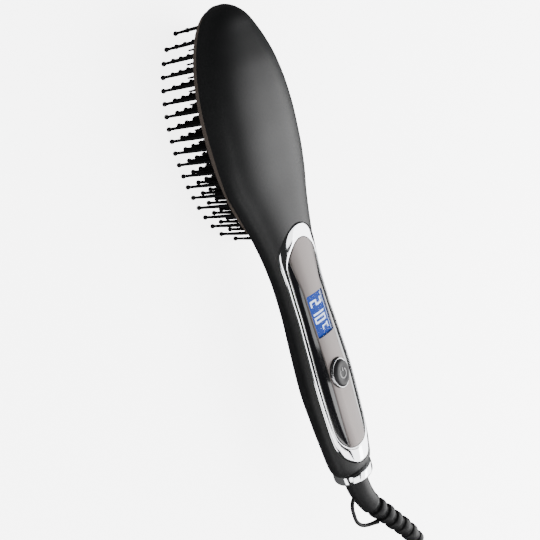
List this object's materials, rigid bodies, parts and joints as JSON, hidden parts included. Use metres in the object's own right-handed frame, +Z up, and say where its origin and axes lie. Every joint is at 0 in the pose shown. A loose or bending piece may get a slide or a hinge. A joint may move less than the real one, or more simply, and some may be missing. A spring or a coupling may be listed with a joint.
{
  "type": "heated hair straightening brush",
  "caption": "Corded electric straightening brush: oval paddle head with ball-tipped bristles and heated teeth, slim handle with display, round button, chrome trim and swivel cord.",
  "frame": {"origin": "on the surface the bristle tips stand on, below the middle of the brush without its cord", "axes": "+Y along the brush to the tip of the head, +Z up from the bristle tips to the back with the display, +X to the brush's right when seen from the back with the head up"},
  "size_m": [0.0782, 0.5021, 0.0578],
  "materials": {
    "housing_black": "satin",
    "frame_brown": "satin",
    "bristle_black": "matte",
    "coated_aluminium": "ceramic coated",
    "ceramic": "matte",
    "mica": "matte",
    "steel": "plain",
    "sensor_glass": "gloss",
    "fuse_case": "satin",
    "red_lead": "matte",
    "chrome_trim": "polished",
    "gloss_black": "gloss",
    "gunmetal": "satin metallic",
    "lcd_window": "gloss",
    "lcd_blue": "lit",
    "board_green": "satin",
    "chip_black": "matte",
    "capacitor_yellow": "gloss",
    "terminal_green": "satin",
    "button_grey": "satin",
    "silicone": "matte",
    "bush_white": "satin",
    "bakelite": "matte",
    "copper": "plain",
    "blue_lead": "matte",
    "shaft_grey": "satin",
    "brass": "plain",
    "cord_black": "satin",
    "tie_black": "matte"
  },
  "bodies": {
    "handle": {"back_shell": "housing_black", "front_shell": "housing_black", "head_frame": "frame_brown", "bristle_pad": "bristle_black", "heat_plate": "coated_aluminium", "heating_element_a": "ceramic", "heating_element_b": "ceramic", "insulation_sheet": "mica", "heater_clamp": "steel", "clamp_screw_a": "steel", "clamp_screw_b": "steel", "temp_sensor": "sensor_glass", "thermal_fuse": "fuse_case", "plate_screw_1": "steel", "plate_screw_2": "steel", "plate_screw_3": "steel", "plate_screw_4": "steel", "heater_leads": "red_lead", "chrome_ring": "chrome_trim", "panel": "gloss_black", "inlay_strip": "gunmetal", "lcd_lens": "lcd_window", "lcd_module": "lcd_blue", "main_pcb": "board_green", "mcu_chip": "chip_black", "triac": "chip_black", "film_capacitor": "capacitor_yellow", "terminal_block": "terminal_green", "tact_switch": "chip_black", "button_bezel": "chrome_trim", "return_sleeve": "silicone", "shell_screw_1": "steel", "shell_screw_2": "steel", "collar": "chrome_trim", "swivel_bush": "bush_white", "brush_block": "bakelite", "brush_contacts": "copper", "supply_leads": "blue_lead", "cord_coil": "cord_black", "cord_tie": "tie_black", "plug_body": "cord_black", "plug_pins": "brass"},
    "button": {"button_cap": "button_grey"},
    "swivel": {"swivel_shaft": "shaft_grey", "slip_ring_a": "brass", "slip_ring_b": "brass", "strain_relief": "cord_black", "cord_tube": "cord_black"}
  },
  "joints": [
    {"name": "button_press", "type": "slide", "parent": "handle", "child": "button", "axis": [0, 0, -1], "range_m": [0, 0.0008], "stiffness_N_per_m": 1500, "springref_m": -0.0002, "deforming": ["return_sleeve"]},
    {"name": "cord_swivel", "type": "hinge", "parent": "handle", "child": "swivel", "pos_m": [0, -0.13525, 0.0383], "axis": [0, 1, 0], "continuous": true, "deforming": ["cord_tube"]}
  ]
}
